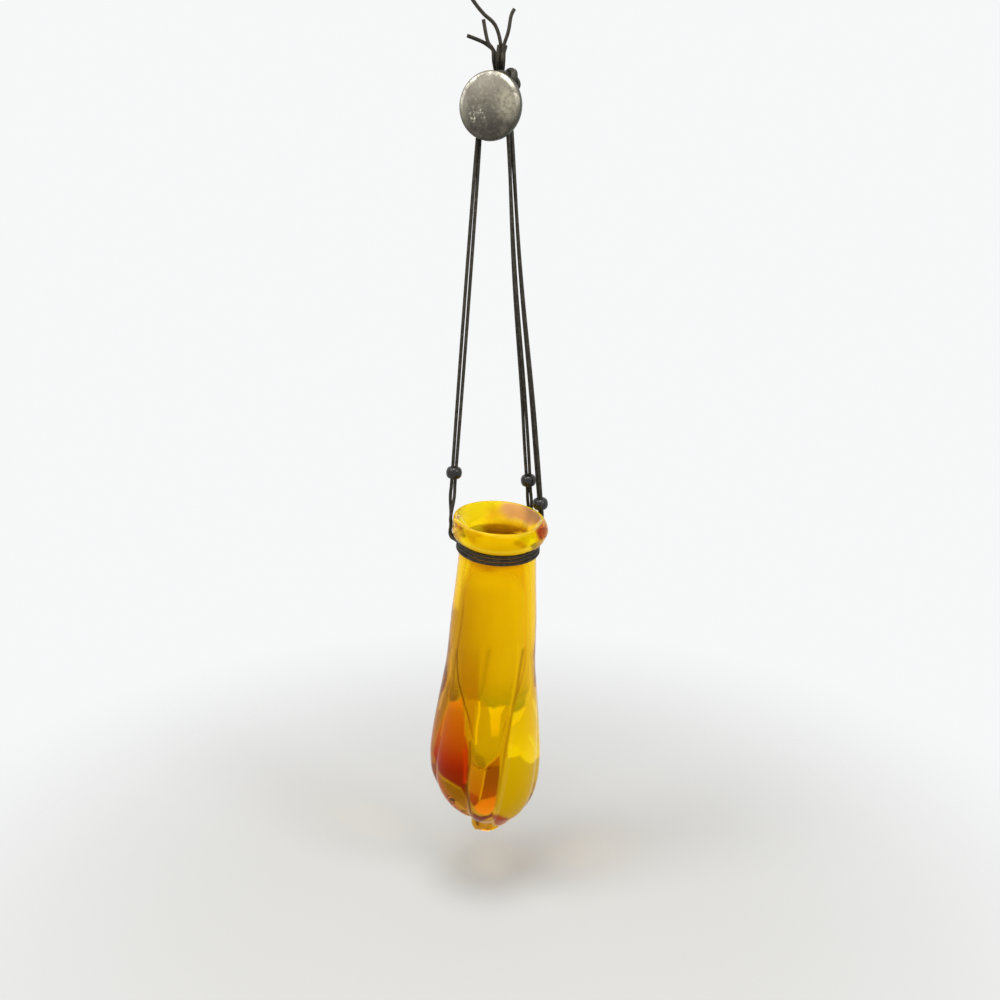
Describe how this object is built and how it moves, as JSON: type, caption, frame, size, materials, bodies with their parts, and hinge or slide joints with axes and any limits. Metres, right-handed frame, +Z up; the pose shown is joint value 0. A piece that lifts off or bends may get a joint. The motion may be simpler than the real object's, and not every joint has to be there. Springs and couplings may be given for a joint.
{
  "type": "hanging glass vase",
  "caption": "Amber blown glass vase with a rolled lip and a pinched bottom, hung from a round metal knob by knotted black leather cords with beads.",
  "frame": {"origin": "centre of the back face of the knob's stem, at the mouth of its fixing hole", "axes": "+Z up, +Y from the knob's head to its back, +X to the right seen from the front"},
  "size_m": [0.0756, 0.0727, 0.494],
  "materials": {
    "amber_glass": "clear, hot-worked and glossy",
    "black_leather": "round lace, satin and a little worn",
    "black_bead": "glossy",
    "worn_nickel": "tarnished, with worn pale specks"
  },
  "bodies": {
    "hanging": {"round_knob": "worn_nickel", "glass_vase": "amber_glass", "left_cord": "black_leather", "middle_cord": "black_leather", "right_cord": "black_leather", "top_knot": "black_leather", "cord_tails": "black_leather"},
    "left_bead_body": {"left_bead": "black_bead"},
    "middle_bead_body": {"middle_bead": "black_bead"},
    "right_bead_body": {"right_bead": "black_bead"}
  },
  "joints": [
    {"name": "left_bead_slide", "type": "slide", "parent": "hanging", "child": "left_bead_body", "axis": [0.0565, 0.0838, 0.9949], "range_m": [0, 0.15]},
    {"name": "middle_bead_slide", "type": "slide", "parent": "hanging", "child": "middle_bead_body", "axis": [-0.0345, -0.0871, 0.9956], "range_m": [0, 0.03]},
    {"name": "right_bead_slide", "type": "slide", "parent": "hanging", "child": "right_bead_body", "axis": [-0.0717, -0.0487, 0.9962], "range_m": [0, 0.005]}
  ]
}
